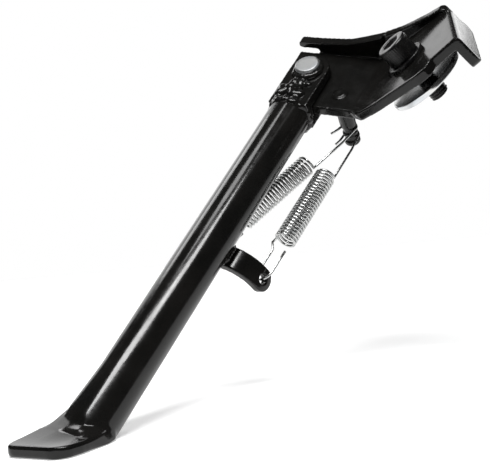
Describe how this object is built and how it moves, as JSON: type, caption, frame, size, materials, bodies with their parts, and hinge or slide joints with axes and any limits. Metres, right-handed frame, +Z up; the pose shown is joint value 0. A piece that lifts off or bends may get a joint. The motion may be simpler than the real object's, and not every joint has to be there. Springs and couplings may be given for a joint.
{
  "type": "side stand",
  "caption": "Side stand with a bent clamp bracket, a swinging tube leg with a flat pressed foot, and paired tension springs.",
  "frame": {"origin": "on the clamp bolt's axis, in the plane of the clamp plate's underside, where the bracket sits on its lug", "axes": "+Z is up and normal to the foot's sole with the leg swung down; the leg runs towards -X and -Y; the stated axis of the clamp bolt leaves towards +X, +Y and -Z"},
  "size_m": [0.222, 0.1705, 0.1779],
  "materials": {
    "black_paint": "gloss",
    "black_oxide": "satin",
    "zinc_plate": "bright",
    "spring_wire": "bright",
    "bronze": "satin"
  },
  "bodies": {
    "bracket": {"bracket_plate": "black_paint", "pivot_bush": "bronze", "spring_post": "black_paint", "clamp_bolt": "black_oxide", "bolt_washer": "black_oxide", "clamp_washer": "zinc_plate"},
    "leg": {"leg_tube": "black_paint", "upper_ear": "black_paint", "lower_ear": "black_paint", "fork_web": "black_paint", "fork_weld": "black_paint", "pivot_pin": "zinc_plate", "pin_washer": "zinc_plate", "pin_circlip": "black_oxide", "spring_strap": "black_paint", "strap_weld": "black_paint", "near_spring_end_hook": "spring_wire", "far_spring_end_hook": "spring_wire"},
    "near_spring_upper": {"near_spring_coil": "spring_wire", "near_spring_top_hook": "spring_wire"},
    "near_spring_lower": {"near_spring_end_wire": "spring_wire"},
    "far_spring_upper": {"far_spring_coil": "spring_wire", "far_spring_top_hook": "spring_wire"},
    "far_spring_lower": {"far_spring_end_wire": "spring_wire"}
  },
  "joints": [
    {"name": "leg_swing", "type": "hinge", "parent": "bracket", "child": "leg", "pos_m": [-0.04717, 0.03987, 0.00146], "axis": [0.2068, 0.6627, -0.7198], "range_deg": [0, 105]},
    {"name": "near_spring_turn", "type": "hinge", "parent": "bracket", "child": "near_spring_upper", "pos_m": [-0.02914, 0.04075, -0.02867], "axis": [0.2068, 0.6627, -0.7198], "range_deg": [0, 97.81]},
    {"name": "near_spring_stretch", "type": "slide", "parent": "near_spring_upper", "child": "near_spring_lower", "axis": [-0.5378, -0.5376, -0.6494], "range_m": [0, 0.03449], "deforming": ["near_spring_coil"]},
    {"name": "far_spring_turn", "type": "hinge", "parent": "bracket", "child": "far_spring_upper", "pos_m": [-0.03027, 0.0371, -0.02472], "axis": [0.2068, 0.6627, -0.7198], "range_deg": [0, 93.55]},
    {"name": "far_spring_stretch", "type": "slide", "parent": "far_spring_upper", "child": "far_spring_lower", "axis": [-0.7877, -0.3236, -0.5242], "range_m": [0, 0.0279], "deforming": ["far_spring_coil"]}
  ],
  "couplings": [
    {"joint": "near_spring_turn", "follows": "leg_swing", "ratio": 0.92675},
    {"joint": "near_spring_stretch", "follows": "leg_swing", "m_per_rad": 0.018545},
    {"joint": "far_spring_turn", "follows": "leg_swing", "ratio": 0.8862},
    {"joint": "far_spring_stretch", "follows": "leg_swing", "m_per_rad": 0.014951}
  ]
}
